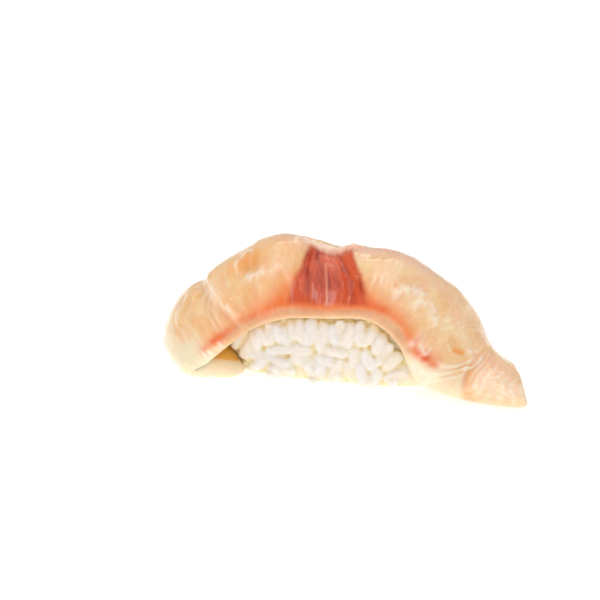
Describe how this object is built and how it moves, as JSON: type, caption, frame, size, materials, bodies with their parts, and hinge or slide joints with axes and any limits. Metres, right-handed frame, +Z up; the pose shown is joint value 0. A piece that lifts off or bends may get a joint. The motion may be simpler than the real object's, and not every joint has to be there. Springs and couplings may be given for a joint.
{
  "type": "nigiri sushi with pale raw fish",
  "caption": "Hand-pressed block of cooked rice under a long draped slice of pale raw fish with a dark red blood line, one end tucked in and the other spread as a flat tail.",
  "frame": {"origin": "middle of the whole footprint, on the surface that the piece stands on", "axes": "+X along the slice from the tucked end to the flat tail, +Y away from the edge with the blood line, +Z up"},
  "size_m": [0.0932, 0.0338, 0.0317],
  "materials": {
    "fish": "wet and slightly see-through",
    "rice": "moist, slightly glossy"
  },
  "bodies": {
    "root": {"fish_slice": "fish", "rice": "rice"}
  },
  "joints": []
}
